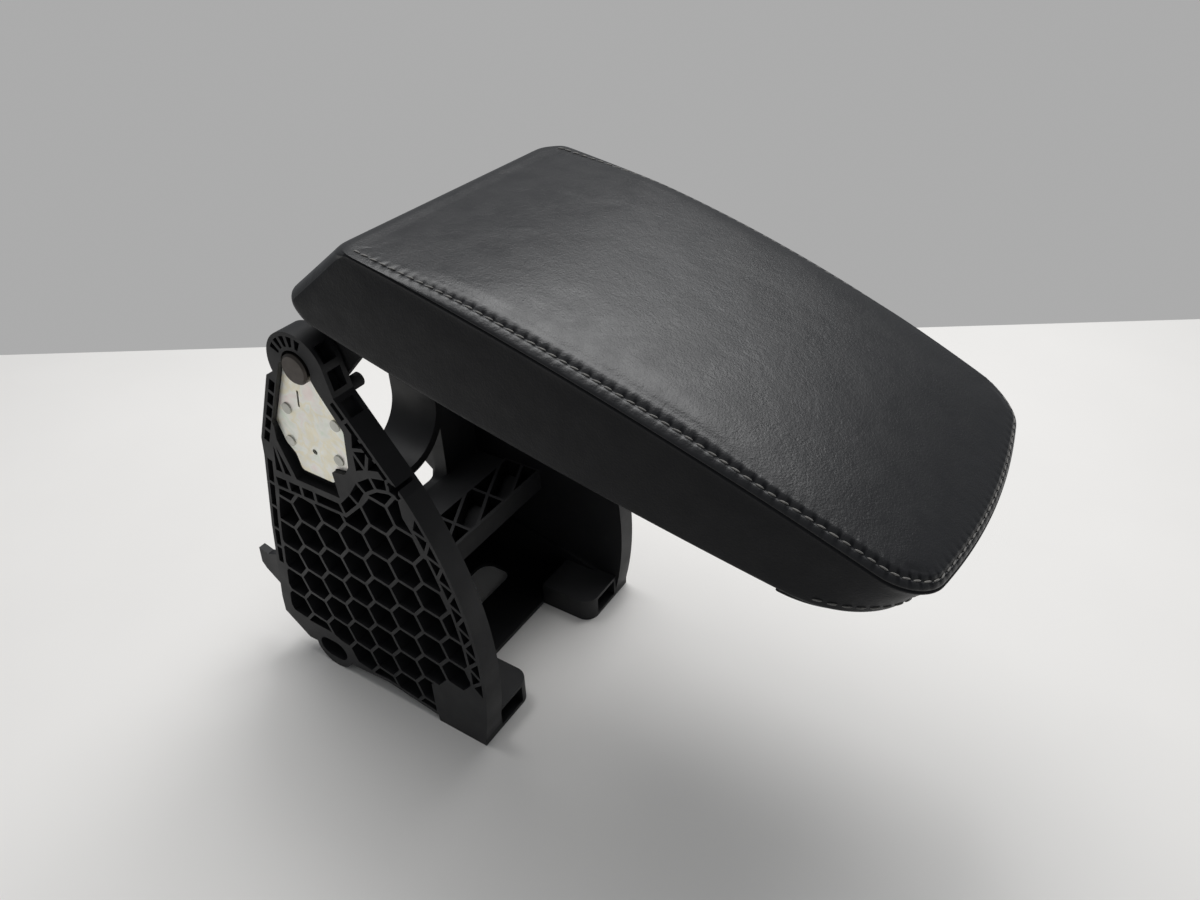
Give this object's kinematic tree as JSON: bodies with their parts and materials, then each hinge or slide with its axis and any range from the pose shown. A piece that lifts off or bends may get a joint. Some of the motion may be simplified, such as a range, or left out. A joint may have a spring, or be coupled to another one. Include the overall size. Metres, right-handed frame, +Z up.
{
  "type": "car centre armrest",
  "caption": "Leather-covered car centre armrest that swings up on a honeycomb-ribbed moulded console bracket with steel hinge plates and a rear air duct collar.",
  "frame": {"origin": "centre of the front floor strip's underside, on the plane the bracket stands on", "axes": "+X the way the pad points, +Y towards the left side, +Z up"},
  "size_m": [0.4279, 0.1764, 0.3219],
  "materials": {
    "black_moulding": "fine matte grain",
    "zinc_plate": "zinc plated, passivated",
    "dark_pin": "dark oxide",
    "spring_steel": "plain",
    "black_steel": "black coated",
    "rubber": "matte",
    "bush_plastic": "plain",
    "foam": "cut foam",
    "black_leather": "fine grain with a satin sheen"
  },
  "bodies": {
    "bracket": {"right_side_wall": "black_moulding", "left_side_wall": "black_moulding", "floor": "black_moulding", "shelf": "black_moulding", "rear_panel": "black_moulding", "duct_collar": "black_moulding", "right_hinge_plate": "zinc_plate", "left_hinge_plate": "zinc_plate", "right_plate_rivets": "zinc_plate", "left_plate_rivets": "zinc_plate", "right_hinge_pin": "dark_pin", "left_hinge_pin": "dark_pin", "right_pin_clip": "spring_steel", "left_pin_clip": "spring_steel", "right_stop_buffer": "rubber", "left_stop_buffer": "rubber"},
    "armrest": {"hinge_yoke": "black_steel", "right_hinge_bush": "bush_plastic", "left_hinge_bush": "bush_plastic", "right_spring_washer": "spring_steel", "left_spring_washer": "spring_steel", "lower_cover": "black_moulding", "cover_screws": "spring_steel", "pad_carrier": "black_moulding", "foam_pad": "foam", "leather_top": "black_leather", "leather_band": "black_leather", "front_lip": "black_leather"}
  },
  "joints": [
    {"name": "armrest_hinge", "type": "hinge", "parent": "bracket", "child": "armrest", "pos_m": [-0.034, 0, 0.245], "axis": [0, -1, 0], "range_deg": [0, 80]}
  ]
}
